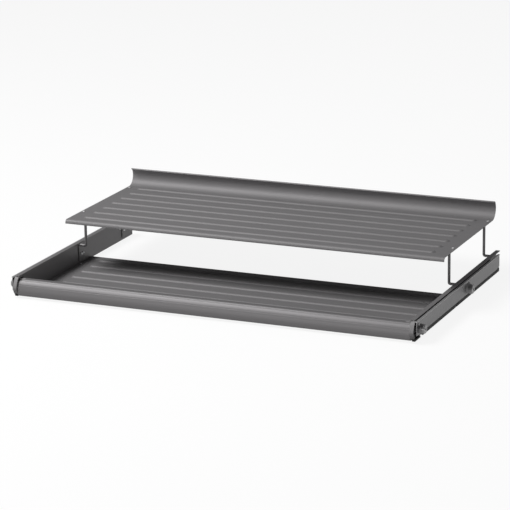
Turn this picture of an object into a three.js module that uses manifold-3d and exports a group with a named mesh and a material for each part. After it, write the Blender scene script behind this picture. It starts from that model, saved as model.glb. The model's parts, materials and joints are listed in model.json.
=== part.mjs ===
// Pull-out shoe rack for a wardrobe: two ribbed steel shelves on a roller-guided frame.
// Millimetres, +X to the right, +Y to the back, +Z up. The origin is bottom centre.
import * as THREE from 'three';
import { mergeVertices } from 'three/addons/utils/BufferGeometryUtils.js';
import Module from 'manifold-3d';

const wasm = await Module();
wasm.setup();

// Overall sizes and clearances
const overallWidth = 964;
const overallDepth = 580;
const sheet = 1.2;
const seatGap = 0.3;
const overrun = 5;

// Cabinet runner, the channel that is screwed to the wardrobe's side
const bossReach = 11.5;
const runnerSpace = 13.1;
const runnerFront = 7.2;
const runnerSetback = 27.8;
const runnerBottom = 16.8;
const runnerHeight = 30.5;
const runnerTopFlange = 4;
const runnerOverhang = 1;
const trackWidth = 12.9;
const trackSetback = 7;
const runnerTailLength = 17.6;
const runnerTailRise = 2.4;
const bossHeight = 26.9;
const bossLead = 8.5;
const bossSpacing = 305.9;
const bossEndRadius = 9.6;
const frontBossSpread = 1.2;
const rearBossSpread = 6.2;
const bossFlare = 3;
const bossEdge = 1;
const bossScrewRadius = 2.6;
const bossSides = 24;
const bossNeckShare = 0.3;

// Glide strips under the cabinet runner, in two lengths
const glideWidth = 3.7;
const glideHeight = 8.2;
const glideFront = 46;
const glideGap = 6;
const glideSlant = 15;
const glideJoinShare = 0.43;

// Side rail, the moving member that carries the shelves
const sideRailNeck = 5.7;
const sideRailFront = 11.2;
const sideRailSetback = 6.8;
const sideFlangeWidth = 10;
const frontTabInset = 38.1;
const rearTabInset = 67.2;
const tabLength = 26;
const tabReach = 14;
const tabRivetReach = 6.5;

// Rollers and their axles
const frontRollerRadius = 10.3;
const frontRollerWidth = 8.3;
const rearRollerRadius = 13.5;
const rearRollerWidth = 10.4;
const rollerChamfer = 1.1;
const rollerSides = 24;
const axleRadius = 2.5;
const axleClearance = 0.35;
const axleHeadRadius = 4;
const axleHeadHeight = 0.6;
const axleNeckRadius = 1.8;
const axleSides = 12;
const frontRollerY = 21.2;
const rearRollerInset = 66;
const trayTravel = 400;
const stopHeight = 7.2;

// Front rail, a hollow extrusion with a rounded nose
const railFront = 3.6;
const railRear = 29.6;
const railBottom = 4.5;
const railHeight = 39.3;
const railNoseDepth = 12.6;
const railWall = 1.6;
const railTopLip = 6;
const railBottomLip = 17.5;
const railTopSetback = 1.5;
const railGrooveRadius = 0.7;
const railCreaseRadius = 0.45;
const grooveSides = 8;
const faceSteps = 14;
const railFaceShares = [[1, 0.919], [0.42, 0.72], [0.12, 0.542], [0, 0.379], [0.286, 0.209], [0.675, 0.038]];
const railCreaseShare = 0.27;

// End caps of the front rail
const capLength = 8.7;
const capBottom = 3.2;
const capHeight = 45.1;
const capDepth = 15.8;
const capLip = 5.9;
const capHoodHeight = 11;
const capBackLength = 2.2;
const capBackDepth = 10.2;
const capClearance = 0.6;
const plugLength = 14;
const plugBackGap = 4;
const capFaceShares = [[0.76, 0.973], [0.335, 0.787], [0, 0.463], [0.278, 0.184], [0.96, 0]];

// Front bracket, which hooks the front rail to the side rail
const bracketDepth = 3.7;
const bracketReach = 44;
const bracketBottom = 3.5;
const bracketFoot = 3.7;
const bracketChin = 6;

// Lower tray
const shelfSheet = 1;
const trayRear = 358.2;
const trayFlangeHeight = 32.3;
const trayRibInset = 28.3;
const railScrewPlaceShares = [-0.86, -0.3, 0.3, 0.86];
const railScrewHeight = 16;

// Upper shelf
const shelfEndGap = 30.1;
const shelfFront = 229;
const shelfTop = 122.8;
const curlRadius = 7.3;
const curlTurn = 105;
const curlSteps = 6;
const lipRadius = 23.6;
const lipTurn = 130;
const lipSteps = 12;
const hemRadius = 1.6;
const hemTurn = 130;
const hemSteps = 4;
const shelfRibInset = 15.3;

// Pressed ribs, alike on both shelves
const ribPitch = 46;
const ribEndMargin = 30.9;
const ribFrontMargin = 20;
const ribWidth = 15;
const ribHeight = 2.6;
const ribSteps = 3;
const ribSides = 12;

// Legs, their pads under the shelf and their plates on the side rails
const legRadius = 3.15;
const legInset = 13.5;
const frontLegInset = 71.7;
const rearLegInset = 17.5;
const legFootDrop = 5;
const legBend = 4;
const legSides = 10;
const legBendSteps = 4;
const padThickness = 2;
const padEndInset = 3.3;
const padWidth = 14.8;
const padLength = 24;
const padLead = 5;
const padCorner = 3;
const padScrewInset = 7.4;
const padScrewOffset = 6;
const plateThickness = 1.5;
const plateLength = 29;
const plateLead = 7;
const plateBottom = 5.8;
const plateTopGap = 1.4;
const plateCorner = 3;
const plateScrewOffsets = [4, 13.5];
const plateScrewHeight = 23.4;
const cornerSteps = 3;

// Screws and rivets
const screwRadius = 1.5;
const screwClearance = 0.4;
const screwHeadRadius = 2.8;
const screwHeadHeight = 1.5;
const screwSides = 10;
const screwTip = 0.8;
const screwFaceShare = 0.55;

// Places that follow from the sizes above
const webOuter = overallWidth / 2 - bossReach;
const webInner = webOuter - sheet;
const wallOuter = webInner - runnerSpace;
const wallInner = wallOuter - sheet;
const railEnd = wallOuter + seatGap;
const capInner = railEnd + seatGap;
const railTop = railBottom + railHeight;
const neckFloor = railTop + seatGap;
const hoodFloor = capBottom + capHeight - capHoodHeight;
const sideRailHeight = neckFloor + sideRailNeck;
const sideRailRear = overallDepth - sideRailSetback;
const rearRollerY = sideRailRear - rearRollerInset;
const runnerRear = overallDepth - runnerSetback;
const runnerTop = runnerBottom + runnerHeight;
const trackInner = webOuter - trackWidth;
const glideTop = runnerBottom - seatGap;
const frontAxleHeight = sideRailHeight - sheet - seatGap - frontRollerRadius;
const rearAxleHeight = runnerBottom + sheet + seatGap + rearRollerRadius;
const frontHeadX = railEnd + seatGap;
const frontRollerX = frontHeadX + axleHeadHeight + seatGap;
const rearRollerX = wallOuter + 2 * seatGap;
const trayUnderside = sheet + seatGap;
const trayTop = trayUnderside + shelfSheet;
const trayHalfWidth = wallInner - seatGap;
const trayFront = railRear + seatGap;
const tabCentres = [trayFront + frontTabInset, trayRear - rearTabInset];
const tabRivetX = wallInner - tabRivetReach;
const shelfHalfWidth = overallWidth / 2 - shelfEndGap;
const shelfFlatRear = overallDepth - shelfSheet - lipRadius;
const ribHalfLength = shelfHalfWidth - ribEndMargin;
const legX = shelfHalfWidth - legInset;
const legFootHeight = sideRailHeight - legFootDrop;
const padScrewX = shelfHalfWidth - padScrewInset;
const plateTop = sideRailHeight - plateTopGap;
const plateInner = wallInner - seatGap - plateThickness;
const padTop = shelfTop - shelfSheet - seatGap;
const screwHole = screwRadius + screwClearance;
const bosses = [
  { y: frontRollerY + bossLead, spread: frontBossSpread },
  { y: frontRollerY + bossLead + bossSpacing, spread: rearBossSpread },
];
const legPlaces = [
  { name: 'front', y: shelfFront + frontLegInset, toMiddle: 1 },
  { name: 'rear', y: shelfFlatRear - rearLegInset, toMiddle: -1 },
];
const plateScrewYs = legPlaces.flatMap(({ y, toMiddle }) => (
  plateScrewOffsets.map((offset) => y + toMiddle * offset)));
const railScrewXs = railScrewPlaceShares.map((share) => share * trayHalfWidth);

// Solids: closed geometry in, joined or cut, closed geometry out

function bare(geometry) {
  geometry.deleteAttribute('normal');
  geometry.deleteAttribute('uv');
  return mergeVertices(geometry);
}

function solid(geometry) {
  const welded = bare(geometry.clone());
  return new wasm.Manifold(new wasm.Mesh({
    numProp: 3,
    vertProperties: new Float32Array(welded.attributes.position.array),
    triVerts: new Uint32Array(welded.index.array),
  }));
}

function geometryOf(body) {
  const mesh = body.getMesh();
  const geometry = new THREE.BufferGeometry();
  geometry.setAttribute('position', new THREE.BufferAttribute(new Float32Array(mesh.vertProperties), 3));
  geometry.setIndex(new THREE.BufferAttribute(new Uint32Array(mesh.triVerts), 1));
  return geometry;
}

function join(first, ...others) {
  return geometryOf(others.reduce((body, other) => body.add(solid(other)), solid(first)));
}

function cut(first, ...others) {
  return geometryOf(others.reduce((body, other) => body.subtract(solid(other)), solid(first)));
}

function overlap(first, second) {
  return geometryOf(solid(first).intersect(solid(second)));
}

function mirrored(geometry) {
  const copy = bare(geometry.clone());
  copy.scale(-1, 1, 1);
  const index = copy.index.array;
  for (let i = 0; i < index.length; i += 3) {
    [index[i], index[i + 1]] = [index[i + 1], index[i]];
  }
  return copy;
}

// Extruded outlines: along X they are drawn in Y and Z, along Z in X and Y

function shapeOf(points) {
  return new THREE.Shape(points.map(([a, b]) => new THREE.Vector2(a, b)));
}

function extrude(shape, length) {
  return new THREE.ExtrudeGeometry(shape, { depth: length, bevelEnabled: false });
}

function alongX(shape, from, to) {
  const turn = new THREE.Matrix4().set(0, 0, 1, from, 1, 0, 0, 0, 0, 1, 0, 0, 0, 0, 0, 1);
  return extrude(shape, to - from).applyMatrix4(turn);
}

function alongZ(shape, from, to) {
  return extrude(shape, to - from).translate(0, 0, from);
}

function block([x0, x1], [y0, y1], [z0, z1]) {
  return alongZ(shapeOf([[x0, y0], [x1, y0], [x1, y1], [x0, y1]]), z0, z1);
}

function arc(centreA, centreB, radius, startAngle, endAngle, steps) {
  return Array.from({ length: steps + 1 }, (_, i) => {
    const angle = THREE.MathUtils.degToRad(startAngle + ((endAngle - startAngle) * i) / steps);
    return [centreA + radius * Math.cos(angle), centreB + radius * Math.sin(angle)];
  });
}

function roundedRectangle([a0, a1], [b0, b1], radius) {
  return shapeOf([
    ...arc(a1 - radius, b0 + radius, radius, -90, 0, cornerSteps),
    ...arc(a1 - radius, b1 - radius, radius, 0, 90, cornerSteps),
    ...arc(a0 + radius, b1 - radius, radius, 90, 180, cornerSteps),
    ...arc(a0 + radius, b0 + radius, radius, 180, 270, cornerSteps),
  ]);
}

function smoothCurve(shares, [a0, aSize], [b0, bSize]) {
  const points = shares.map(([a, b]) => new THREE.Vector2(a0 + a * aSize, b0 + b * bSize));
  return new THREE.SplineCurve(points).getPoints(faceSteps).map((point) => [point.x, point.y]);
}

// Moves each point of a line to its right by a distance, with mitred corners
function offsetPoints(points, distance, closed) {
  const count = points.length;
  return points.map((point, i) => {
    const here = new THREE.Vector2(...point);
    const before = new THREE.Vector2(...points[closed ? (i + count - 1) % count : Math.max(i - 1, 0)]);
    const after = new THREE.Vector2(...points[closed ? (i + 1) % count : Math.min(i + 1, count - 1)]);
    const outgoing = after.clone().sub(here).normalize();
    const incoming = here.clone().sub(before).normalize();
    const first = incoming.lengthSq() > 0 ? incoming : outgoing;
    const second = outgoing.lengthSq() > 0 ? outgoing : incoming;
    const middle = first.clone().add(second).normalize();
    const reach = distance / middle.dot(first);
    return [here.x + middle.y * reach, here.y - middle.x * reach];
  });
}

// Bent sheet: the line is its upper or inner face, and the sheet lies to the line's right
function sheetShape(line, thickness) {
  return shapeOf([...line, ...offsetPoints(line, thickness, false).reverse()]);
}

// Turned pieces: the profile lists radius and place along the axis

function turned(profile, sides) {
  return bare(new THREE.LatheGeometry(profile.map(([radius, place]) => new THREE.Vector2(radius, place)), sides));
}

function turnedX(profile, y, z, sides) {
  const turn = new THREE.Matrix4().set(0, 1, 0, 0, 0, 0, 1, y, 1, 0, 0, z, 0, 0, 0, 1);
  return turned(profile, sides).applyMatrix4(turn);
}

function turnedZ(profile, x, y, sides) {
  const turn = new THREE.Matrix4().set(0, 0, 1, x, 1, 0, 0, y, 0, 1, 0, 0, 0, 0, 0, 1);
  return turned(profile, sides).applyMatrix4(turn);
}

function pin(radius, from, to) {
  return [[0, from], [radius, from], [radius, to], [0, to]];
}

function holeX(radius, x, y, z, sides = screwSides) {
  return turnedX(pin(radius, x - overrun, x + overrun), y, z, sides);
}

function holeZ(radius, x, y, z) {
  return turnedZ(pin(radius, z - overrun, z + overrun), x, y, screwSides);
}

function holeY(radius, x, y, z) {
  return turned(pin(radius, y - overrun, y + overrun), screwSides).translate(x, 0, z);
}

// A skin over rings that all have the same number of points, closed at both ends
function loft(rings) {
  const sides = rings[0].length;
  const triangles = [];
  for (let ring = 0; ring < rings.length - 1; ring += 1) {
    for (let side = 0; side < sides; side += 1) {
      const a = ring * sides + side;
      const b = ring * sides + ((side + 1) % sides);
      triangles.push(a, b, b + sides, a, b + sides, a + sides);
    }
  }
  const last = (rings.length - 1) * sides;
  for (let side = 1; side < sides - 1; side += 1) {
    triangles.push(0, side + 1, side, last, last + side, last + side + 1);
  }
  const geometry = new THREE.BufferGeometry();
  geometry.setAttribute('position', new THREE.Float32BufferAttribute(rings.flat(2), 3));
  geometry.setIndex(triangles);
  return geometry;
}

// Pressed shelves

function rib(halfWidth, halfLength, y, z) {
  const capsule = new THREE.CapsuleGeometry(1, 2 * (halfLength / halfWidth - 1), ribSteps, ribSides);
  capsule.rotateZ(Math.PI / 2);
  capsule.scale(halfWidth, halfWidth, ribHeight);
  return capsule.translate(0, y, z);
}

function pressRibs(panel, top, front, rearRib) {
  const count = Math.floor((rearRib - front - ribFrontMargin) / ribPitch) + 1;
  const ys = Array.from({ length: count }, (_, i) => rearRib - i * ribPitch);
  const below = block([-overallWidth, overallWidth], [-overallDepth, 2 * overallDepth],
    [top - shelfSheet - ribHeight - overrun, top - shelfSheet / 2]);
  const raised = ys.map((y) => cut(rib(ribWidth / 2, ribHalfLength, y, top), below));
  const hollows = ys.map((y) => rib(ribWidth / 2 - shelfSheet, ribHalfLength - shelfSheet, y, top - shelfSheet));
  return cut(join(panel, ...raised), ...hollows);
}

function lowerTray() {
  const line = [
    [trayRear, trayUnderside],
    [trayFront, trayUnderside],
    [trayFront, trayUnderside + trayFlangeHeight],
  ];
  const panel = alongX(sheetShape(line, shelfSheet), -trayHalfWidth, trayHalfWidth);
  const ribbed = pressRibs(panel, trayTop, trayFront, trayRear - trayRibInset);
  const rivetHoles = tabCentres.flatMap((y) => [-tabRivetX, tabRivetX].map((x) => holeZ(screwHole, x, y, trayTop)));
  const railHoles = railScrewXs.map((x) => holeY(screwHole, x, trayFront, railScrewHeight));
  return cut(ribbed, ...rivetHoles, ...railHoles);
}

function upperShelf() {
  const lipAngle = lipTurn - 90;
  const lip = arc(shelfFlatRear, shelfTop + lipRadius, lipRadius, -90, lipAngle, lipSteps);
  const [tipY, tipZ] = lip[lipSteps];
  const [hemY, hemZ] = arc(tipY, tipZ, hemRadius, lipAngle + 180, lipAngle + 180, 1)[0];
  const line = [
    ...arc(shelfFront + curlRadius, shelfTop - curlRadius, curlRadius, 90 + curlTurn, 90, curlSteps),
    ...lip,
    ...arc(hemY, hemZ, hemRadius, lipAngle, lipAngle + hemTurn, hemSteps).slice(1),
  ];
  const panel = alongX(sheetShape(line, shelfSheet), -shelfHalfWidth, shelfHalfWidth);
  const ribbed = pressRibs(panel, shelfTop, shelfFront, shelfFlatRear - shelfRibInset);
  const holes = legPlaces.flatMap(({ y }) => [-padScrewX, padScrewX].map((x) => (
    holeZ(screwHole, x, y + padScrewOffset, shelfTop))));
  return cut(ribbed, ...holes);
}

// Front rail: a nose curve, two grooves along it, and an open back between two lips

function railOutline(rear) {
  return [
    [rear, railBottom],
    [rear, railTop],
    [railFront + railNoseDepth + railTopSetback, railTop],
    ...smoothCurve(railFaceShares, [railFront, railNoseDepth], [railBottom, railHeight]),
    [railFront + railNoseDepth, railBottom],
  ];
}

function frontRail() {
  const outline = railOutline(railRear);
  const face = outline.slice(3, -1);
  const body = alongX(shapeOf(outline), -railEnd, railEnd);
  const cavity = alongX(shapeOf(offsetPoints(outline, -railWall, true)), -railEnd - overrun, railEnd + overrun);
  const backSlot = block([-railEnd - overrun, railEnd + overrun], [railRear - overrun, railRear + overrun],
    [railBottom + railBottomLip, railTop - railTopLip]);
  const grooves = [[railGrooveRadius, 0], [railCreaseRadius, railCreaseShare]].map(([radius, share]) => (
    turnedX(pin(radius, -railEnd - overrun, railEnd + overrun), ...face[Math.round(share * faceSteps)], grooveSides)));
  const holes = railScrewXs.map((x) => holeY(screwHole, x, railRear, railScrewHeight));
  return cut(body, cavity, backSlot, ...grooves, ...holes);
}

// End cap: a nose over the rail's end, a thin back plate, and a plug in the hollow rail

function endCap() {
  const outline = shapeOf([
    [capDepth, capBottom],
    [capDepth, capBottom + capHeight],
    ...smoothCurve(capFaceShares, [0, capDepth], [capBottom, capHeight]),
  ]);
  const around = [capInner - overrun, capInner + capLength + overrun];
  const nose = alongX(outline, capInner, capInner + capLength);
  const bracketPocket = block(around, [capLip, capDepth + overrun], [capBottom - overrun, hoodFloor]);
  const back = overlap(alongX(outline, capInner, capInner + capBackLength),
    block(around, [capLip / 2, capBackDepth], [railBottom, hoodFloor + capHoodHeight / 2]));
  const rollerRoom = turnedX(pin(frontRollerRadius + capClearance, ...around),
    frontRollerY, frontAxleHeight, rollerSides);
  const plugShape = shapeOf(offsetPoints(railOutline(railRear - plugBackGap), -(railWall + seatGap), true));
  const plug = alongX(plugShape, railEnd - plugLength, railEnd);
  const tongue = overlap(alongX(plugShape, railEnd - plugLength / 2, capInner + capBackLength / 2),
    block(around, [0, capBackDepth], [0, hoodFloor]));
  return join(cut(join(cut(nose, bracketPocket), back), rollerRoom), join(plug, tongue));
}

// Front bracket: an upright behind the cap and a foot that reaches back beside the side rail

function frontBracket() {
  const front = capLip + seatGap;
  const inner = capInner + capBackLength + seatGap;
  const outer = capInner + capLength;
  const top = hoodFloor - seatGap;
  const footTop = bracketBottom + bracketFoot;
  const upright = alongX(shapeOf([
    [front, bracketBottom + bracketChin],
    [front + bracketDepth, bracketBottom],
    [bracketReach, bracketBottom],
    [bracketReach, footTop],
    [front + bracketDepth, footTop],
    [front + bracketDepth, top],
    [front, top],
  ]), inner, outer);
  const hook = block([railEnd, outer], [railRear + seatGap, bracketReach], [bracketBottom, footTop]);
  return join(upright, hook);
}

// Side rail: a wall with an outward flange on top and two tabs under the tray

function sideRail() {
  const wall = alongX(shapeOf([
    [railRear + seatGap, 0],
    [sideRailRear, 0],
    [sideRailRear, sideRailHeight],
    [sideRailFront, sideRailHeight],
    [sideRailFront, neckFloor],
    [railRear + seatGap, neckFloor],
  ]), wallInner, wallOuter);
  const flange = block([wallInner, wallInner + sideFlangeWidth], [sideRailFront, sideRailRear],
    [sideRailHeight - sheet, sideRailHeight]);
  const tabs = tabCentres.map((y) => (
    block([wallInner - tabReach, wallOuter], [y - tabLength / 2, y + tabLength / 2], [0, sheet])));
  const rivetHoles = tabCentres.map((y) => holeZ(screwHole, tabRivetX, y, 0));
  const plateHoles = plateScrewYs.map((y) => holeX(screwHole, wallInner, y, plateScrewHeight));
  const axleHole = holeX(axleRadius + axleClearance, wallInner, rearRollerY, rearAxleHeight, axleSides);
  return cut(join(wall, flange, ...tabs), ...rivetHoles, ...plateHoles, axleHole);
}

// Cabinet runner: a channel that opens towards the tray, with two pressed bosses and a stop

// A boss ring is level with the boss's end at the bottom and spreads sideways and upward
function bossRing(x, y, radius, spread) {
  const halfHeight = radius + spread / 2;
  return arc(0, 0, 1, 0, 360, bossSides).slice(1).map(([across, up]) => (
    [x, y + (radius + spread) * across, bossHeight + spread / 2 + halfHeight * up]));
}

function bossSolid({ y, spread }, start, inwards) {
  const end = overallWidth / 2 - inwards;
  const radius = bossEndRadius - inwards;
  return loft([
    bossRing(start, y, radius, spread),
    bossRing(webOuter, y, radius, spread),
    bossRing(webOuter + bossFlare, y, radius, spread * bossNeckShare),
    bossRing(end - bossEdge, y, radius, 0),
    bossRing(end, y, radius - bossEdge, 0),
  ]);
}

function cabinetRunner() {
  const web = alongX(shapeOf([
    [runnerFront, runnerBottom],
    [runnerRear - runnerTailLength, runnerBottom],
    [runnerRear, runnerBottom + runnerTailRise],
    [runnerRear, runnerTop],
    [runnerFront, runnerTop],
  ]), webInner, webOuter);
  const top = block([webOuter - runnerTopFlange, webOuter + runnerOverhang], [runnerFront, runnerRear],
    [runnerTop - sheet, runnerTop]);
  const track = block([trackInner, webOuter], [runnerFront + trackSetback, runnerRear - runnerTailLength],
    [runnerBottom, runnerBottom + sheet]);
  const stopContact = Math.sqrt(rearRollerRadius ** 2 - (rearAxleHeight - runnerBottom - stopHeight) ** 2);
  const stopRear = rearRollerY - trayTravel - stopContact - seatGap;
  const stop = block([trackInner, webInner - seatGap], [stopRear - sheet, stopRear],
    [runnerBottom, runnerBottom + stopHeight]);
  const pressings = bosses.map((boss) => bossSolid(boss, webInner, 0));
  const hollows = bosses.map((boss) => bossSolid(boss, webInner - overrun, sheet));
  const screwHoles = bosses.map(({ y }) => holeX(bossScrewRadius, overallWidth / 2, y, bossHeight, axleSides));
  const axleHole = holeX(axleNeckRadius + axleClearance, webOuter, frontRollerY, frontAxleHeight, axleSides);
  const channel = join(cut(join(web, ...pressings), ...hollows), track, top, stop);
  return cut(channel, ...screwHoles, axleHole);
}

function glideStrip(plainEnd, towardsJoin) {
  const middle = glideFront + glideJoinShare * (runnerRear - glideFront) - (towardsJoin * glideGap) / 2;
  return alongX(shapeOf([
    [plainEnd, glideTop],
    [plainEnd, glideTop - glideHeight],
    [middle - glideSlant / 2, glideTop - glideHeight],
    [middle + glideSlant / 2, glideTop],
  ]), webOuter - seatGap - glideWidth, webOuter - seatGap);
}

// Rollers on riveted axles

function roller(radius, width, x0, y, z) {
  const x1 = x0 + width;
  const bore = axleRadius + axleClearance;
  return turnedX([
    [bore, x0],
    [radius - rollerChamfer, x0],
    [radius, x0 + rollerChamfer],
    [radius, x1 - rollerChamfer],
    [radius - rollerChamfer, x1],
    [bore, x1],
    [bore, x0],
  ], y, z, rollerSides);
}

function frontAxle() {
  const shankEnd = webInner - seatGap;
  const rivetHead = webOuter + seatGap;
  return turnedX([
    [0, frontHeadX],
    [axleHeadRadius, frontHeadX],
    [axleHeadRadius, frontHeadX + axleHeadHeight],
    [axleRadius, frontHeadX + axleHeadHeight],
    [axleRadius, shankEnd],
    [axleNeckRadius, shankEnd],
    [axleNeckRadius, rivetHead],
    [axleRadius + axleClearance, rivetHead],
    [axleRadius, rivetHead + axleHeadHeight],
    [0, rivetHead + axleHeadHeight],
  ], frontRollerY, frontAxleHeight, axleSides);
}

function rearAxle() {
  const innerHead = wallInner - seatGap;
  const outerHead = rearRollerX + rearRollerWidth + seatGap;
  return turnedX([
    [0, innerHead - axleHeadHeight],
    [axleHeadRadius, innerHead - axleHeadHeight],
    [axleHeadRadius, innerHead],
    [axleRadius, innerHead],
    [axleRadius, outerHead],
    [axleHeadRadius, outerHead],
    [axleHeadRadius, outerHead + axleHeadHeight],
    [0, outerHead + axleHeadHeight],
  ], rearRollerY, rearAxleHeight, axleSides);
}

// Leg: a round bar with its foot bent outward and a welded pad under the shelf

function legRod(y) {
  const top = new THREE.Vector3(legX, y, padTop - padThickness / 2);
  const bend = new THREE.QuadraticBezierCurve3(
    new THREE.Vector3(legX, y, legFootHeight + legBend),
    new THREE.Vector3(legX, y, legFootHeight),
    new THREE.Vector3(legX + legBend, y, legFootHeight));
  const foot = new THREE.Vector3(plateInner - seatGap, y, legFootHeight);
  const centres = [top, ...bend.getPoints(legBendSteps), foot];
  const across = new THREE.Vector3(0, 1, 0);
  return loft(centres.map((centre, i) => {
    const before = centres[Math.max(i - 1, 0)];
    const after = centres[Math.min(i + 1, centres.length - 1)];
    const sideways = after.clone().sub(before).normalize().cross(across);
    return arc(0, 0, legRadius, 0, 360, legSides).slice(1).map(([a, b]) => (
      centre.clone().addScaledVector(sideways, -a).addScaledVector(across, b).toArray()));
  }));
}

function leg({ y }) {
  const padEnd = shelfHalfWidth - padEndInset;
  const pad = alongZ(roundedRectangle([padEnd - padWidth, padEnd],
    [y - padLead, y - padLead + padLength], padCorner), padTop - padThickness, padTop);
  return cut(join(legRod(y), pad), holeZ(screwHole, padScrewX, y + padScrewOffset, padTop));
}

function wallPlate({ y, toMiddle }) {
  const ends = [y - toMiddle * plateLead, y - toMiddle * plateLead + toMiddle * plateLength];
  const outline = roundedRectangle([Math.min(...ends), Math.max(...ends)], [plateBottom, plateTop], plateCorner);
  const plate = alongX(outline, plateInner, plateInner + plateThickness);
  const holes = plateScrewYs.map((place) => holeX(screwHole, plateInner, place, plateScrewHeight));
  const headRoom = axleHeadRadius + axleClearance + seatGap;
  return cut(plate, ...holes, holeX(headRoom, plateInner, rearRollerY, rearAxleHeight, axleSides));
}

// Screws and rivets: the profile runs from the head's face to the tip, in either direction

function screwProfile(seat, tip) {
  const direction = Math.sign(tip - seat);
  const face = seat - direction * screwHeadHeight;
  const profile = [
    [0, face],
    [screwHeadRadius * screwFaceShare, face],
    [screwHeadRadius, seat - (direction * screwHeadHeight) / 2],
    [screwHeadRadius, seat],
    [screwRadius, seat],
    [screwRadius, tip],
    [0, tip],
  ];
  return direction > 0 ? profile : profile.reverse();
}

function plateScrew(y) {
  const profile = screwProfile(plateInner - seatGap, wallOuter + seatGap);
  return turnedX(profile, y, plateScrewHeight, screwSides);
}

function shelfScrew({ y }) {
  const profile = screwProfile(shelfTop + seatGap, padTop - padThickness - screwTip);
  return turnedZ(profile, padScrewX, y + padScrewOffset, screwSides);
}

function trayRivet(y) {
  return turnedZ(screwProfile(trayTop + seatGap, 0), tabRivetX, y, screwSides);
}

function railScrew(x) {
  const profile = screwProfile(trayFront + shelfSheet + seatGap, railRear - railWall - screwTip);
  return turned(profile, screwSides).translate(x, 0, railScrewHeight);
}

// Materials

const finishes = {
  powderCoat: { color: 0x5a5859, roughness: 0.55, metalness: 0.25 },
  darkCoat: { color: 0x4c4a4b, roughness: 0.6, metalness: 0.2 },
  railCoat: { color: 0x7d7b7c, roughness: 0.4, metalness: 0.5 },
  capPlastic: { color: 0x797778, roughness: 0.6, metalness: 0 },
  blackPlastic: { color: 0x161616, roughness: 0.55, metalness: 0 },
  galvanised: { color: 0x8a898a, roughness: 0.4, metalness: 0.8 },
  zinc: { color: 0xc4c4c4, roughness: 0.35, metalness: 0.9 },
};

const rack = new THREE.Group();
rack.position.y = -overallDepth / 2;

function place(name, geometry, finish) {
  const mesh = new THREE.Mesh(geometry, new THREE.MeshStandardMaterial(finishes[finish]));
  mesh.name = name;
  rack.add(mesh);
}

function placePair(name, geometry, finish) {
  place(`${name}_right`, geometry, finish);
  place(`${name}_left`, mirrored(geometry), finish);
}

place('front_rail', frontRail(), 'railCoat');
place('lower_tray', lowerTray(), 'powderCoat');
place('upper_shelf', upperShelf(), 'powderCoat');
placePair('end_cap', endCap(), 'capPlastic');
placePair('front_bracket', frontBracket(), 'blackPlastic');
placePair('side_rail', sideRail(), 'darkCoat');
placePair('cabinet_runner', cabinetRunner(), 'galvanised');
placePair('front_glide', glideStrip(glideFront, 1), 'blackPlastic');
placePair('rear_glide', glideStrip(runnerRear, -1), 'blackPlastic');
placePair('front_roller',
  roller(frontRollerRadius, frontRollerWidth, frontRollerX, frontRollerY, frontAxleHeight), 'blackPlastic');
placePair('rear_roller',
  roller(rearRollerRadius, rearRollerWidth, rearRollerX, rearRollerY, rearAxleHeight), 'blackPlastic');
placePair('front_axle', frontAxle(), 'zinc');
placePair('rear_axle', rearAxle(), 'zinc');
for (const spot of legPlaces) {
  placePair(`${spot.name}_leg`, leg(spot), 'darkCoat');
  placePair(`${spot.name}_wall_plate`, wallPlate(spot), 'darkCoat');
}
plateScrewYs.forEach((y, i) => placePair(`plate_screw_${i + 1}`, plateScrew(y), 'zinc'));
legPlaces.forEach((spot) => placePair(`${spot.name}_shelf_screw`, shelfScrew(spot), 'zinc'));
tabCentres.forEach((y, i) => placePair(`tray_rivet_${i + 1}`, trayRivet(y), 'zinc'));
railScrewXs.forEach((x, i) => place(`rail_screw_${i + 1}`, railScrew(x), 'zinc'));

export default rack;
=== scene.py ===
import json
import math

import bpy
from mathutils import Matrix, Vector


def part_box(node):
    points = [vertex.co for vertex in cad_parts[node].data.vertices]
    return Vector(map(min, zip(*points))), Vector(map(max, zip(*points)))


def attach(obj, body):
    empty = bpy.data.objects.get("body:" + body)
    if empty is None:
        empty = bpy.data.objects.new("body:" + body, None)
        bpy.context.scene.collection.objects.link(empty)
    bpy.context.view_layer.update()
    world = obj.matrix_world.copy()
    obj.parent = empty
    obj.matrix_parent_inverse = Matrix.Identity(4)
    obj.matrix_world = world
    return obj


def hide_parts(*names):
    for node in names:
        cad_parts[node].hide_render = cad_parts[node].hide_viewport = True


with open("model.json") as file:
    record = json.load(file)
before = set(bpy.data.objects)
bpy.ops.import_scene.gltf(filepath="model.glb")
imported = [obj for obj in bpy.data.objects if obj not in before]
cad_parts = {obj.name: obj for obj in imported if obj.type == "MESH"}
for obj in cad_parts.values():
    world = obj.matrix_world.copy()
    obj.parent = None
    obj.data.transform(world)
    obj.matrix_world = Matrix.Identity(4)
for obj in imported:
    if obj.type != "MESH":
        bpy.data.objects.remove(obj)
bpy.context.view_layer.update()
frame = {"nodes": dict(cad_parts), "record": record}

# Camera at the photograph's viewing angle, in degrees and metres. Right, up and back are counted
# along the camera's own axes before its roll, from CAMERA_ORIGIN.
CAMERA_AZIMUTH = 23.57620769
CAMERA_ELEVATION = 15.80844253
CAMERA_ROLL = -0.83649647
CAMERA_RIGHT = 0.100275
CAMERA_UP = 0.124238
CAMERA_BACK = 5.351303
CAMERA_ORIGIN = Vector((0.0, -0.2788, 0.0118))
CAMERA_REACH = 100.0
FOCAL_PIXELS = 2518.3694
PHOTO_PIXELS = 510
SENSOR_MM = 36.0

# Floor and surroundings: the seen floor is a blend of a lit white and a glow of its own
FLOOR_SIZE = 30.0
FLOOR_DROP = 0.0006
FLOOR_SEEN_COLOUR = (0.95, 0.95, 0.95)
FLOOR_BOUNCE_COLOUR = (0.06, 0.06, 0.06)
FLOOR_GLOW = 0.88
BACKDROP_COLOUR = (1.0, 1.0, 1.0)
AMBIENT_COLOUR = (0.18, 0.18, 0.182)

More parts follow.
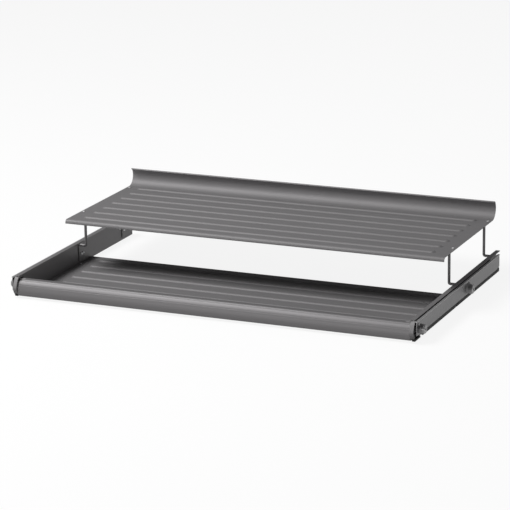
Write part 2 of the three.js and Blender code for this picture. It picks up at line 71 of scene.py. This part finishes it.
# Lights: name, place seen from the rack's middle in metres, size in metres, watts
RACK_MIDDLE = Vector((0.0, 0.0, 0.08))
LIGHTS = [
    ("key_softbox", (-1.9, -1.2, 3.1), (2.2, 1.3), 137.0),
    ("front_softbox", (-0.8, -3.6, 0.1), (2.4, 0.6), 34.0),
    ("back_softbox", (1.8, 2.8, 2.0), (1.6, 1.0), 8.0),
]

# Bent sheets, in millimetres. Depths are counted from the rack's front, which is at RACK_FRONT in
# the frame, and heights from the ground.
MILLIMETRE = 0.001
RACK_FRONT = -290.0
SHEET = 1.0
SHEET_STEP = 0.8
BEND_STEPS = 28
CORNER_STEPS = 6
PLAIN_HALF_COLUMNS = 4
SHARP_ANGLE = 50.0

# Pressed ribs, and the fine columns of the mesh round their ends
RIB_PITCH = 46.0
RIB_CREST_HALF_WIDTH = 4.0
RIB_ROOT_HALF_WIDTH = 9.2
RIB_HEIGHT = 2.9
RIB_HALF_LENGTH = 421.0
RIB_COUNT = 7
RIB_END_INSIDE = 18.0
RIB_END_OUTSIDE = 6.0
RIB_END_STEP = 1.2

# Upper shelf: curl at the front, flat, lip at the rear and its hem
SHELF_FRONT = 229.0
SHELF_TOP = 122.8
SHELF_REAR = 555.4
SHELF_REAR_RIB = 540.1
CURL_RADIUS = 7.3
CURL_TURN = 105.0
LIP_RADIUS = 23.5
LIP_TURN = 130.0
HEM_RADIUS = 1.6
HEM_TURN = 130.0
HEM_STEPS = 8

# Lower tray: flange at the front, and flat
TRAY_FRONT = 29.9
TRAY_TOP = 2.5
TRAY_REAR = 358.2
TRAY_REAR_RIB = 329.9
TRAY_FLANGE_TOP = 33.8
TRAY_BEND = 2.0

# Front rail: its outer face, with the nose given as points (depth, height), and its fine grooves
RAIL_WALL = 1.6
RAIL_REAR = 29.6
RAIL_BOTTOM = 4.5
RAIL_TOP = 41.2
RAIL_LIP = 9.0
RAIL_CORNER = 1.6
RAIL_BROW_DROP = 0.3
RAIL_NOSE = [
    (14.0, 4.5), (9.0, 5.2), (6.0, 8.0), (4.6, 13.0), (4.0, 19.0),
    (4.6, 25.0), (6.8, 31.0), (10.4, 36.0), (14.4, 39.6),
]
RAIL_NOSE_STEPS = 14
RAIL_GROOVES = [38.4, 30.0]
RAIL_GROOVE_DEPTH = 0.5
RAIL_GROOVE_HALF_WIDTH = 0.6

# Colours of the finishes: dark and light of the grain, and bare where edges are rubbed
COLOURS = {
    "shelf_coat": ((0.19, 0.185, 0.188), (0.25, 0.243, 0.247), (0.3, 0.293, 0.297)),
    "frame_coat": ((0.17, 0.165, 0.168), (0.22, 0.214, 0.217), (0.26, 0.254, 0.257)),
    "rail_coat": ((0.168, 0.163, 0.166), (0.205, 0.199, 0.202), (0.23, 0.224, 0.227)),
    "cap_plastic": ((0.25, 0.244, 0.247), (0.3, 0.293, 0.297)),
    # Near-black is painted shade on the glide strips and front brackets, which stand where the rack
    # is in shadow, and the real black of the plastic rollers.
    "black_plastic": ((0.006, 0.006, 0.006), (0.012, 0.012, 0.012)),
    "runner_steel": ((0.14, 0.138, 0.14), (0.26, 0.257, 0.26), (0.42, 0.418, 0.42)),
    "zinc_steel": ((0.75, 0.75, 0.75), (0.9, 0.9, 0.91), (0.95, 0.95, 0.95)),
}

# Gloss of the finishes: roughness, and the share of metal in the surface. The specular level is
# the same for all.
GLOSS = {
    "shelf_coat": (0.6, 0.35),
    "frame_coat": (0.48, 0.35),
    "rail_coat": (0.52, 0.5),
    "cap_plastic": (0.5, 0.0),
    "black_plastic": (0.6, 0.0),
    "runner_steel": (0.42, 0.6),
    "zinc_steel": (0.3, 0.5),
}
SPECULAR = 0.2

# Noise as (waves per metre, detail), and the part of its range that is used
SPECKLE_NOISE = (2600.0, 3.0)
CLOUD_NOISE = (7.0, 3.0)
MATT_NOISE = (900.0, 2.0)
PEEL_NOISE = (700.0, 2.0)
GRAIN_NOISE = (2600.0, 2.0)
SATIN_NOISE = (2200.0, 2.0)
MOULD_NOISE = (1800.0, 3.0)
FLOW_NOISE = (60.0, 2.0)
MOTTLE_NOISE = (110.0, 4.0)
NOISE_RANGE = (0.3, 0.7)

# Noise that runs one way: waves per metre along X, Y and Z, and detail
LINE_NOISE = ((3.0, 1500.0, 1500.0), 3.0)
STREAK_NOISE = ((900.0, 12.0, 900.0), 2.0)

# Shares of one colour in another, and the range of Pointiness from flat to a sharp outer edge
CLOUD_SHARE = 0.25
LINE_SHARE = 0.35
STREAK_SHARE = 0.4
WEAR_SHARE = 0.5
EDGE_RANGE = (0.52, 0.6)

# Bumps as (strength, depth in metres), and radii of softened edges in metres
PEEL_BUMP = (0.25, 0.0002)
GRAIN_BUMP = (0.2, 0.00006)
LINE_BUMP = (0.12, 0.00008)
SATIN_BUMP = (0.15, 0.00005)
MOULD_BUMP = (0.3, 0.00008)
MOTTLE_BUMP = (0.1, 0.0001)
STREAK_BUMP = (0.08, 0.00005)
COAT_EDGE = 0.0005
RAIL_EDGE = 0.0006
PLAIN_EDGE = 0.0004
BEVEL_SAMPLES = 4

# How far the roughness varies below and above its plain value
COAT_VARIATION = (0.05, 0.07)
RAIL_VARIATION = (0.04, 0.06)
MOULD_VARIATION = (0.06, 0.08)
STEEL_VARIATION = (0.08, 0.08)


def turned_axes():
    """The camera's right, up and back directions, before its small roll."""
    azimuth = math.radians(CAMERA_AZIMUTH)
    elevation = math.radians(CAMERA_ELEVATION)
    right = Vector((math.cos(azimuth), math.sin(azimuth), 0.0))
    back = Vector((
        math.sin(azimuth) * math.cos(elevation),
        -math.cos(azimuth) * math.cos(elevation),
        math.sin(elevation),
    ))
    return right, back.cross(right), back


def add_camera():
    right, up, back = turned_axes()
    roll = math.radians(CAMERA_ROLL)
    across = math.cos(roll) * right + math.sin(roll) * up
    upward = -math.sin(roll) * right + math.cos(roll) * up
    data = bpy.data.cameras.new("photo_camera")
    data.sensor_fit = "HORIZONTAL"
    data.sensor_width = SENSOR_MM
    data.lens = SENSOR_MM * FOCAL_PIXELS / PHOTO_PIXELS
    data.clip_end = CAMERA_REACH
    camera = bpy.data.objects.new("photo_camera", data)
    bpy.context.scene.collection.objects.link(camera)
    place = CAMERA_ORIGIN + CAMERA_RIGHT * right + CAMERA_UP * up + CAMERA_BACK * back
    turn = Matrix((across, upward, back)).transposed().to_4x4()
    camera.matrix_world = Matrix.Translation(place) @ turn
    bpy.context.scene.camera = camera


def add_light(name, place, size, watts):
    """A rectangular area light that faces the rack's middle."""
    data = bpy.data.lights.new(name, "AREA")
    data.shape = "RECTANGLE"
    data.size, data.size_y = size
    data.energy = watts
    light = bpy.data.objects.new(name, data)
    bpy.context.scene.collection.objects.link(light)
    light.location = RACK_MIDDLE + Vector(place)
    light.rotation_euler = (-Vector(place)).to_track_quat("-Z", "Y").to_euler()


def new_tree(owner):
    """An empty node tree for a material or a world."""
    owner.use_nodes = True
    tree = owner.node_tree
    tree.nodes.clear()
    return tree


def seen_directly(tree, seen, otherwise):
    """The first shader for camera, mirror and see-through rays, the second for all others."""
    path = tree.nodes.new("ShaderNodeLightPath")
    factor = path.outputs["Is Camera Ray"]
    for ray in ("Is Glossy Ray", "Is Transmission Ray"):
        either = tree.nodes.new("ShaderNodeMath")
        either.operation = "MAXIMUM"
        tree.links.new(factor, either.inputs[0])
        tree.links.new(path.outputs[ray], either.inputs[1])
        factor = either.outputs["Value"]
    mix = tree.nodes.new("ShaderNodeMixShader")
    tree.links.new(factor, mix.inputs["Fac"])
    tree.links.new(otherwise, mix.inputs[1])
    tree.links.new(seen, mix.inputs[2])
    return mix.outputs["Shader"]


def add_world():
    """A soft even light all round."""
    world = bpy.data.worlds.new("studio")
    bpy.context.scene.world = world
    tree = new_tree(world)
    ambient = tree.nodes.new("ShaderNodeBackground")
    ambient.inputs["Color"].default_value = (*AMBIENT_COLOUR, 1.0)
    out = tree.nodes.new("ShaderNodeOutputWorld")
    tree.links.new(ambient.outputs["Background"], out.inputs["Surface"])


def floor_material():
    """White with the rack's soft shadow where it is seen, and a darker bounce on the rack."""
    material = bpy.data.materials.new("pale_floor")
    tree = new_tree(material)
    bounce = tree.nodes.new("ShaderNodeBsdfDiffuse")
    bounce.inputs["Color"].default_value = (*FLOOR_BOUNCE_COLOUR, 1.0)
    shaded = tree.nodes.new("ShaderNodeBsdfDiffuse")
    shaded.inputs["Color"].default_value = (*FLOOR_SEEN_COLOUR, 1.0)
    glow = tree.nodes.new("ShaderNodeEmission")
    glow.inputs["Color"].default_value = (*BACKDROP_COLOUR, 1.0)
    blend = tree.nodes.new("ShaderNodeMixShader")
    blend.inputs["Fac"].default_value = FLOOR_GLOW
    tree.links.new(shaded.outputs["BSDF"], blend.inputs[1])
    tree.links.new(glow.outputs["Emission"], blend.inputs[2])
    out = tree.nodes.new("ShaderNodeOutputMaterial")
    surface = seen_directly(tree, blend.outputs["Shader"], bounce.outputs["BSDF"])
    tree.links.new(surface, out.inputs["Surface"])
    return material


def add_floor():
    half = FLOOR_SIZE / 2
    mesh = bpy.data.meshes.new("floor")
    corners = [(-half, -half), (half, -half), (half, half), (-half, half)]
    mesh.from_pydata([(x, y, -FLOOR_DROP) for x, y in corners], [], [(0, 1, 2, 3)])
    floor = bpy.data.objects.new("floor", mesh)
    bpy.context.scene.collection.objects.link(floor)
    mesh.materials.append(floor_material())


class Finish:
    """One procedural material: a shader with nodes for its colour, roughness and bump."""

    def __init__(self, name, roughness, metallic):
        self.material = bpy.data.materials.new(name)
        self.tree = new_tree(self.material)
        self.roughness = roughness
        self.shader = self.tree.nodes.new("ShaderNodeBsdfPrincipled")
        self.shader.inputs["Roughness"].default_value = roughness
        self.shader.inputs["Metallic"].default_value = metallic
        self.shader.inputs["Specular IOR Level"].default_value = SPECULAR
        out = self.tree.nodes.new("ShaderNodeOutputMaterial")
        self.link(self.shader.outputs["BSDF"], out.inputs["Surface"])
        coordinates = self.tree.nodes.new("ShaderNodeTexCoord")
        self.place = coordinates.outputs["Object"]

    def link(self, source, target):
        self.tree.links.new(source, target)

    def noise(self, scale, detail, place=None):
        node = self.tree.nodes.new("ShaderNodeTexNoise")
        node.inputs["Scale"].default_value = scale
        node.inputs["Detail"].default_value = detail
        self.link(place or self.place, node.inputs["Vector"])
        return node.outputs["Fac"]

    def stretched_noise(self, stretch, detail):
        """Noise with its own scale along each axis, for grain that runs one way."""
        mapping = self.tree.nodes.new("ShaderNodeMapping")
        mapping.inputs["Scale"].default_value = stretch
        self.link(self.place, mapping.inputs["Vector"])
        return self.noise(1.0, detail, mapping.outputs["Vector"])

    def spread(self, value, low, high, source_range=NOISE_RANGE):
        """A value's range mapped to the range low to high."""
        node = self.tree.nodes.new("ShaderNodeMapRange")
        node.inputs["From Min"].default_value, node.inputs["From Max"].default_value = source_range
        node.inputs["To Min"].default_value = low
        node.inputs["To Max"].default_value = high
        self.link(value, node.inputs["Value"])
        return node.outputs["Result"]

    def edge_wear(self, share):
        """From 0 on flat faces to the share on the sharpest outer edges."""
        geometry = self.tree.nodes.new("ShaderNodeNewGeometry")
        return self.spread(geometry.outputs["Pointiness"], 0.0, share, EDGE_RANGE)

    def mixed(self, factor, first, second):
        node = self.tree.nodes.new("ShaderNodeMix")
        node.data_type = "RGBA"
        self.link(factor, node.inputs["Factor"])
        for source, socket in ((first, node.inputs["A"]), (second, node.inputs["B"])):
            if isinstance(source, bpy.types.NodeSocket):
                self.link(source, socket)
            else:
                socket.default_value = (*source, 1.0)
        return node.outputs["Result"]

    def set_colour(self, socket):
        self.link(socket, self.shader.inputs["Base Color"])

    def vary_roughness(self, value, less, more):
        varied = self.spread(value, self.roughness - less, self.roughness + more)
        self.link(varied, self.shader.inputs["Roughness"])

    def set_bumps(self, layers, edge_radius):
        """Bump layers of (height, (strength, depth)) over edges rounded by a small radius."""
        bevel = self.tree.nodes.new("ShaderNodeBevel")
        bevel.samples = BEVEL_SAMPLES
        bevel.inputs["Radius"].default_value = edge_radius
        normal = bevel.outputs["Normal"]
        for height, (strength, depth) in layers:
            bump = self.tree.nodes.new("ShaderNodeBump")
            bump.inputs["Strength"].default_value = strength
            bump.inputs["Distance"].default_value = depth
            self.link(height, bump.inputs["Height"])
            self.link(normal, bump.inputs["Normal"])
            normal = bump.outputs["Normal"]
        self.link(normal, self.shader.inputs["Normal"])


def powder_coat(finish, dark, light, worn):
    """Powder coat on steel: orange-peel skin, fine speckle, and paint rubbed thin on edges."""
    speckled = finish.mixed(finish.spread(finish.noise(*SPECKLE_NOISE), 0.0, 1.0), dark, light)
    cloud = finish.spread(finish.noise(*CLOUD_NOISE), 0.0, CLOUD_SHARE)
    clouded = finish.mixed(cloud, speckled, dark)
    finish.set_colour(finish.mixed(finish.edge_wear(WEAR_SHARE), clouded, worn))
    finish.vary_roughness(finish.noise(*MATT_NOISE), *COAT_VARIATION)
    peel, grain = finish.noise(*PEEL_NOISE), finish.noise(*GRAIN_NOISE)
    finish.set_bumps([(peel, PEEL_BUMP), (grain, GRAIN_BUMP)], COAT_EDGE)


def drawn_coat(finish, dark, light, worn):
    """A coated extrusion: faint draw lines along its length over a fine satin skin."""
    lines = finish.stretched_noise(*LINE_NOISE)
    satin = finish.noise(*SATIN_NOISE)
    speckled = finish.mixed(finish.spread(satin, 0.0, 1.0), dark, light)
    lined = finish.mixed(finish.spread(lines, 0.0, LINE_SHARE), speckled, light)
    finish.set_colour(finish.mixed(finish.edge_wear(WEAR_SHARE), lined, worn))
    finish.vary_roughness(lines, *RAIL_VARIATION)
    finish.set_bumps([(lines, LINE_BUMP), (satin, SATIN_BUMP)], RAIL_EDGE)


def moulded_plastic(finish, dark, light):
    """Moulded plastic with a spark-eroded grain."""
    grain = finish.noise(*MOULD_NOISE)
    flow = finish.spread(finish.noise(*FLOW_NOISE), 0.0, 1.0)
    finish.set_colour(finish.mixed(flow, dark, light))
    finish.vary_roughness(grain, *MOULD_VARIATION)
    finish.set_bumps([(grain, MOULD_BUMP)], PLAIN_EDGE)


def rolled_steel(finish, dark, light, bright):
    """Rolled steel under a thin coat: mottled crystals, streaks along the rolling direction."""
    mottle = finish.noise(*MOTTLE_NOISE)
    streak = finish.stretched_noise(*STREAK_NOISE)
    mottled = finish.mixed(finish.spread(mottle, 0.0, 1.0), dark, light)
    streaked = finish.mixed(finish.spread(streak, 0.0, STREAK_SHARE), mottled, light)
    finish.set_colour(finish.mixed(finish.edge_wear(1.0), streaked, bright))
    finish.vary_roughness(mottle, *STEEL_VARIATION)
    finish.set_bumps([(mottle, MOTTLE_BUMP), (streak, STREAK_BUMP)], PLAIN_EDGE)


def finishes_by_slot():
    makers = {
        "shelf_coat": powder_coat,
        "frame_coat": powder_coat,
        "rail_coat": drawn_coat,
        "cap_plastic": moulded_plastic,
        "black_plastic": moulded_plastic,
        "runner_steel": rolled_steel,
        "zinc_steel": rolled_steel,
    }
    finishes = {}
    for slot, maker in makers.items():
        finish = Finish(slot, *GLOSS[slot])
        maker(finish, *COLOURS[slot])
        finishes[slot] = finish.material
    return finishes


def dress_nodes(finishes):
    """Gives each CAD node the finish of its material slot."""
    for subpart in frame["record"]["subparts"]:
        node = frame["nodes"][subpart["node"]]
        finish = finishes[subpart["material_slot"]]
        if not node.material_slots:
            node.data.materials.append(finish)
        for holder in node.material_slots:
            holder.material = finish


def arc(centre_y, centre_z, radius, start, end, steps=BEND_STEPS):
    """Points on an arc in the side view, with angles in degrees upward from the rear."""
    angles = [math.radians(start + (end - start) * i / steps) for i in range(steps + 1)]
    return [(centre_y + radius * math.cos(a), centre_z + radius * math.sin(a)) for a in angles]


def straight(start, end, height):
    """Points along a flat stretch of sheet, close enough for the ribs' curves."""
    steps = round((end - start) / SHEET_STEP)
    return [(start + (end - start) * i / steps, height) for i in range(steps + 1)]


def catmull_rom(before, start, end, after, t):
    """A value on a Catmull-Rom curve, at the share t of the way from start to end."""
    square = (2 * before - 5 * start + 4 * end - after) * t**2
    cube = (3 * start - before - 3 * end + after) * t**3
    return 0.5 * (2 * start + (end - before) * t + square + cube)


def smooth_curve(points, steps):
    """A smooth curve through the points, in even steps between each two of them."""
    ends = [points[0]] + points + [points[-1]]
    curve = []
    for corners in zip(ends, ends[1:], ends[2:], ends[3:]):
        for i in range(steps):
            curve.append(tuple(catmull_rom(*values, i / steps) for values in zip(*corners)))
    return curve + [points[-1]]


def shelf_line():
    """The upper face of the shelf from its front curl over the flat to the hem of its lip."""
    curl_y, curl_z = SHELF_FRONT + CURL_RADIUS, SHELF_TOP - CURL_RADIUS
    curl = arc(curl_y, curl_z, CURL_RADIUS, 90.0 + CURL_TURN, 90.0)
    lip_end = LIP_TURN - 90.0
    lip = arc(SHELF_REAR, SHELF_TOP + LIP_RADIUS, LIP_RADIUS, -90.0, lip_end)
    tip_y, tip_z = lip[-1]
    inward = math.radians(lip_end + 180.0)
    hem_y, hem_z = tip_y + HEM_RADIUS * math.cos(inward), tip_z + HEM_RADIUS * math.sin(inward)
    hem = arc(hem_y, hem_z, HEM_RADIUS, lip_end, lip_end + HEM_TURN, HEM_STEPS)
    return curl[:-1] + straight(curl_y, SHELF_REAR, SHELF_TOP) + lip[1:] + hem[1:]


def tray_line():
    """The inner face of the tray from the top of its front flange to its rear edge."""
    face = TRAY_FRONT + SHEET
    bend = arc(face + TRAY_BEND, TRAY_TOP + TRAY_BEND, TRAY_BEND, 180.0, 270.0, CORNER_STEPS)
    flat = straight(face + TRAY_BEND, TRAY_REAR, TRAY_TOP)
    return [(face, TRAY_FLANGE_TOP)] + bend[:-1] + flat


def groove_dip(height):
    """How far the rail's face is set back at a height, in the fine grooves along it."""
    nearest = min(abs(height - groove) for groove in RAIL_GROOVES)
    return RAIL_GROOVE_DEPTH * max(1.0 - nearest / RAIL_GROOVE_HALF_WIDTH, 0.0)


def rail_line():
    """The outer face of the front rail, from its lower rear lip round the nose to the upper one."""
    inner = RAIL_REAR - RAIL_CORNER
    foot = arc(inner, RAIL_BOTTOM + RAIL_CORNER, RAIL_CORNER, 0.0, -90.0, CORNER_STEPS)
    nose = [(y + groove_dip(z), z) for y, z in smooth_curve(RAIL_NOSE, RAIL_NOSE_STEPS)]
    nose_end = nose[-1][0]
    brow = [
        (nose_end + RAIL_CORNER, RAIL_TOP - RAIL_BROW_DROP),
        (nose_end + 2 * RAIL_CORNER, RAIL_TOP),
    ]
    head = arc(inner, RAIL_TOP - RAIL_CORNER, RAIL_CORNER, 90.0, 0.0, CORNER_STEPS)
    lower_lip = (RAIL_REAR, RAIL_BOTTOM + RAIL_LIP)
    upper_lip = (RAIL_REAR, RAIL_TOP - RAIL_LIP)
    return [lower_lip] + foot + nose + brow + head + [upper_lip]


def rib_rise(x, y, rear_rib):
    """Height of the pressed ribs above the flat: a crest with smooth flanks and round ends."""
    nearest = min(max(round((rear_rib - y) / RIB_PITCH), 0), RIB_COUNT - 1)
    past_end = max(abs(x) - (RIB_HALF_LENGTH - RIB_ROOT_HALF_WIDTH), 0.0)
    distance = math.hypot(past_end, y - (rear_rib - nearest * RIB_PITCH))
    down = (distance - RIB_CREST_HALF_WIDTH) / (RIB_ROOT_HALF_WIDTH - RIB_CREST_HALF_WIDTH)
    down = min(max(down, 0.0), 1.0)
    return RIB_HEIGHT * (1.0 - down * down * (3.0 - 2.0 * down))


def sheet_columns(half_width, ribbed):
    """Places across the sheet, close together at the ribs' ends."""
    if not ribbed:
        count = PLAIN_HALF_COLUMNS
        return [half_width * i / count for i in range(-count, count + 1)]
    steps = round((RIB_END_INSIDE + RIB_END_OUTSIDE) / RIB_END_STEP)
    ends = [RIB_HALF_LENGTH - RIB_END_INSIDE + i * RIB_END_STEP for i in range(steps + 1)]
    right = [ends[0] / 2] + [x for x in ends if x < half_width] + [half_width]
    return [-x for x in reversed(right)] + [0.0] + right


def sheet_corners(line, thickness, columns, ribs):
    """Corners of the sheet's upper and lower side, row by row along the line."""
    upper, lower = [], []
    for i, (y, z) in enumerate(line):
        before, after = line[max(i - 1, 0)], line[min(i + 1, len(line) - 1)]
        along = Vector((after[0] - before[0], after[1] - before[1])).normalized()
        for x in columns:
            rise = rib_rise(x, y, ribs[1]) if ribs and z == ribs[0] else 0.0
            upper.append((x, RACK_FRONT + y, z + rise))
            lower.append((x, RACK_FRONT + y + thickness * along.y, z + rise - thickness * along.x))
    return upper, lower


def sheet_faces(rows, width):
    """Faces of a closed sheet: its upper side, its lower side and the four edges between them."""
    count = rows * width
    faces = []
    for row in range(rows - 1):
        for column in range(width - 1):
            a = row * width + column
            faces.append((a, a + 1, a + width + 1, a + width))
            faces.append((a + count, a + width + count, a + width + 1 + count, a + 1 + count))
    front = list(range(width))
    rear = [count - width + i for i in range(width)]
    left = [i * width for i in range(rows)]
    right = [i * width + width - 1 for i in range(rows)]
    for edge in (front[::-1], rear, left, right[::-1]):
        faces += [(a + count, b + count, b, a) for a, b in zip(edge, edge[1:])]
    return faces


def bent_sheet(name, line, thickness, half_width, ribs):
    """A closed sheet of even thickness along a line. Ribs, given as the height of the flat that
    they rise from and the depth of the rearmost one, are pressed up out of it."""
    columns = sheet_columns(half_width, ribs)
    upper, lower = sheet_corners(line, thickness, columns, ribs)
    corners = [Vector(corner) * MILLIMETRE for corner in upper + lower]
    mesh = bpy.data.meshes.new(name)
    mesh.from_pydata(corners, [], sheet_faces(len(line), len(columns)))
    mesh.polygons.foreach_set("use_smooth", [True] * len(mesh.polygons))
    mesh.set_sharp_from_angle(angle=math.radians(SHARP_ANGLE))
    piece = bpy.data.objects.new(name, mesh)
    bpy.context.scene.collection.objects.link(piece)
    return piece


def add_sheets(finishes):
    """Smooth bent sheets in place of the CAD's faceted shelf, tray and front rail."""
    sheets = (
        ("upper_shelf", "shelf_coat", shelf_line(), SHEET, (SHELF_TOP, SHELF_REAR_RIB)),
        ("lower_tray", "shelf_coat", tray_line(), SHEET, (TRAY_TOP, TRAY_REAR_RIB)),
        ("front_rail", "rail_coat", rail_line(), RAIL_WALL, None),
    )
    for node, slot, line, thickness, ribs in sheets:
        half_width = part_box(node)[1][0] / MILLIMETRE
        piece = bent_sheet(f"{node}_sheet", line, thickness, half_width, ribs)
        piece.data.materials.append(finishes[slot])
        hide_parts(node)
        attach(piece, "tray")


bpy.context.scene.view_settings.view_transform = "Standard"
add_camera()
add_world()
add_floor()
for light in LIGHTS:
    add_light(*light)
finishes = finishes_by_slot()
dress_nodes(finishes)
add_sheets(finishes)
